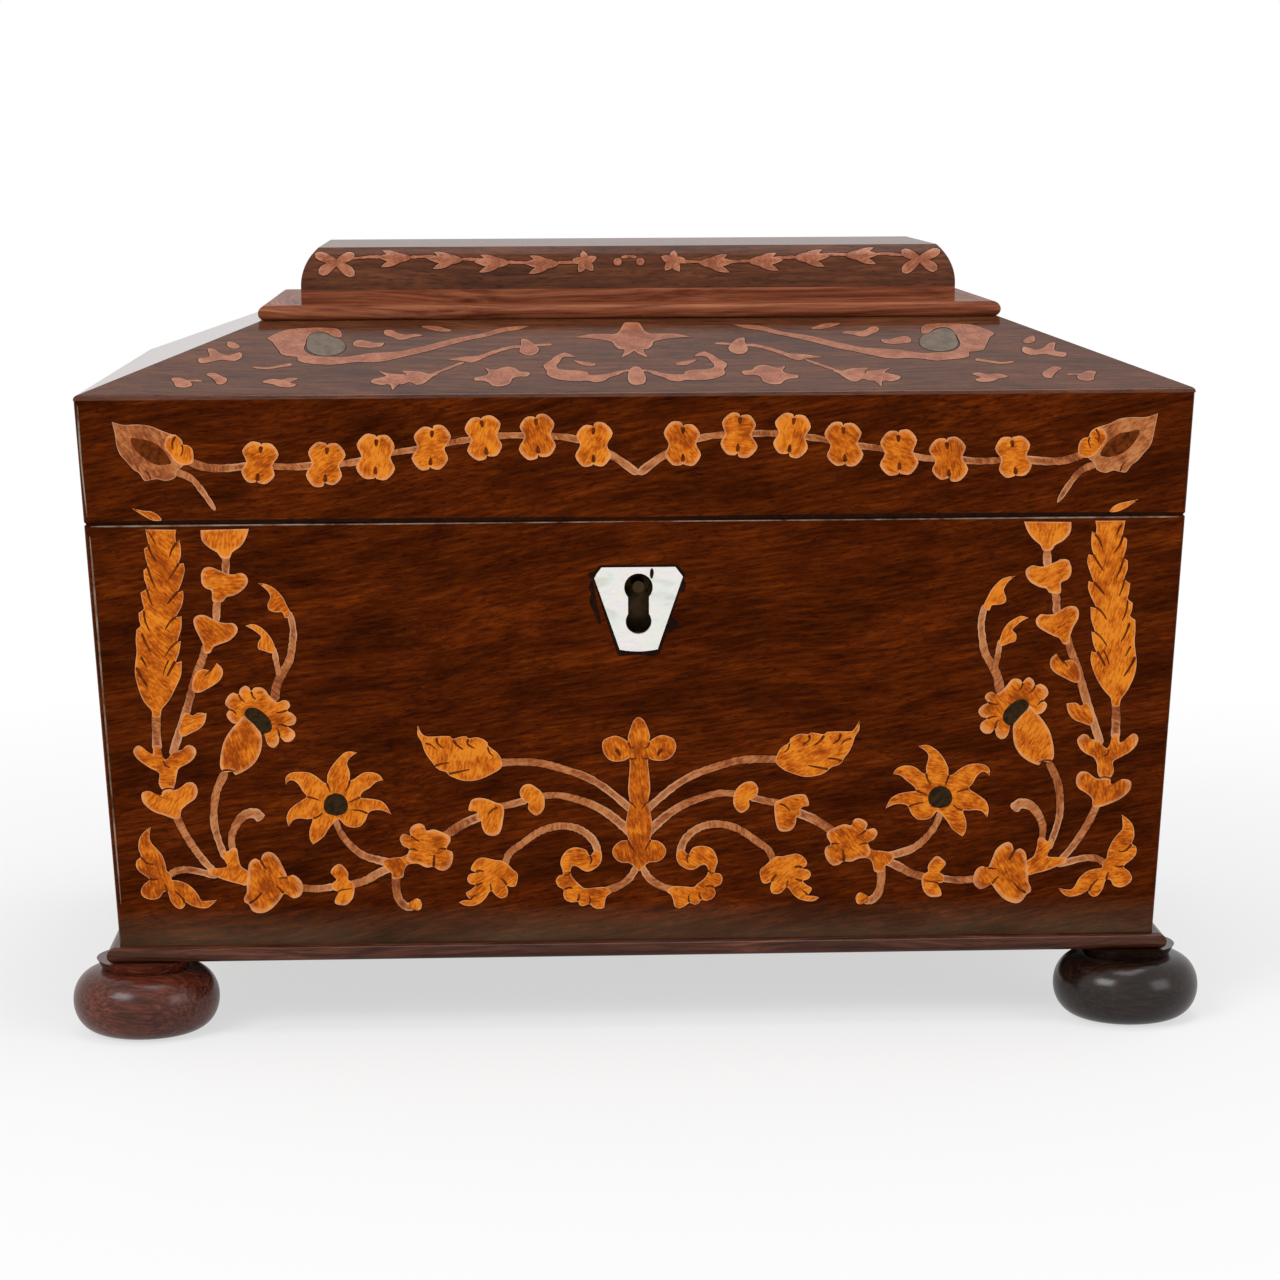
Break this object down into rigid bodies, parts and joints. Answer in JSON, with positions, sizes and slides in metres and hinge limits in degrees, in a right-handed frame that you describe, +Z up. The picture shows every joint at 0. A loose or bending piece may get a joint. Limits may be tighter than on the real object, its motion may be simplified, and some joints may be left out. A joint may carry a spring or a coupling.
{
  "type": "marquetry box",
  "caption": "Rectangular hinged box with tapering veneered sides, a hipped lid with a pillow top, floral marquetry, a shield escutcheon with a box lock, and turned bun feet.",
  "frame": {"origin": "on the floor, under the middle of the box", "axes": "+X to the right along the front, +Y from the front to the hinges, +Z up"},
  "size_m": [0.2912, 0.1962, 0.1985],
  "materials": {
    "rosewood_veneer": "french polished",
    "inlay_wood": "french polished",
    "moulding_wood": "polished",
    "turned_wood": "polished",
    "carcass_wood": "planed",
    "mother_of_pearl": "polished shell",
    "brass": "aged",
    "steel": "filed",
    "lining_cloth": "velvet"
  },
  "bodies": {
    "case": {"base_moulding_back": "moulding_wood", "base_moulding_front": "moulding_wood", "base_moulding_left": "moulding_wood", "base_moulding_right": "moulding_wood", "case_back_board": "carcass_wood", "case_back_veneer": "rosewood_veneer", "case_bottom_board": "carcass_wood", "case_front_board": "carcass_wood", "case_front_inlay": "inlay_wood", "case_front_veneer": "rosewood_veneer", "case_left_board": "carcass_wood", "case_left_veneer": "rosewood_veneer", "case_lining": "lining_cloth", "case_right_board": "carcass_wood", "case_right_veneer": "rosewood_veneer", "escutcheon": "mother_of_pearl", "foot_front_left": "turned_wood", "foot_front_right": "turned_wood", "foot_rear_left": "turned_wood", "foot_rear_right": "turned_wood", "hinge_left_case_leaf": "brass", "hinge_left_pin": "steel", "hinge_right_case_leaf": "brass", "hinge_right_pin": "steel", "lock_cap": "brass", "lock_drill_pin": "steel", "lock_plate": "brass", "lock_spring": "steel"},
    "lid": {"hinge_left_lid_leaf": "brass", "hinge_right_lid_leaf": "brass", "lid_back_board": "carcass_wood", "lid_back_veneer": "rosewood_veneer", "lid_front_board": "carcass_wood", "lid_front_inlay": "inlay_wood", "lid_front_veneer": "rosewood_veneer", "lid_left_board": "carcass_wood", "lid_left_veneer": "rosewood_veneer", "lid_lining": "lining_cloth", "lid_right_board": "carcass_wood", "lid_right_veneer": "rosewood_veneer", "lid_top_board": "carcass_wood", "link_plate": "brass", "pillow_top": "rosewood_veneer", "slope_back_board": "carcass_wood", "slope_back_veneer": "rosewood_veneer", "slope_front_board": "carcass_wood", "slope_front_inlay": "inlay_wood", "slope_front_veneer": "rosewood_veneer", "slope_left_board": "carcass_wood", "slope_left_veneer": "rosewood_veneer", "slope_right_board": "carcass_wood", "slope_right_veneer": "rosewood_veneer", "top_moulding_back": "moulding_wood", "top_moulding_front": "moulding_wood", "top_moulding_left": "moulding_wood", "top_moulding_right": "moulding_wood", "top_plinth": "moulding_wood"},
    "lock_bolt": {"lock_bolt": "steel"}
  },
  "joints": [
    {"name": "lid_hinge", "type": "hinge", "parent": "case", "child": "lid", "pos_m": [0, 0.0897, 0.132], "axis": [-1, 0, 0], "range_deg": [0, 100]},
    {"name": "lock_bolt_slide", "type": "slide", "parent": "case", "child": "lock_bolt", "axis": [1, 0, 0], "range_m": [0, 0.0035]}
  ]
}
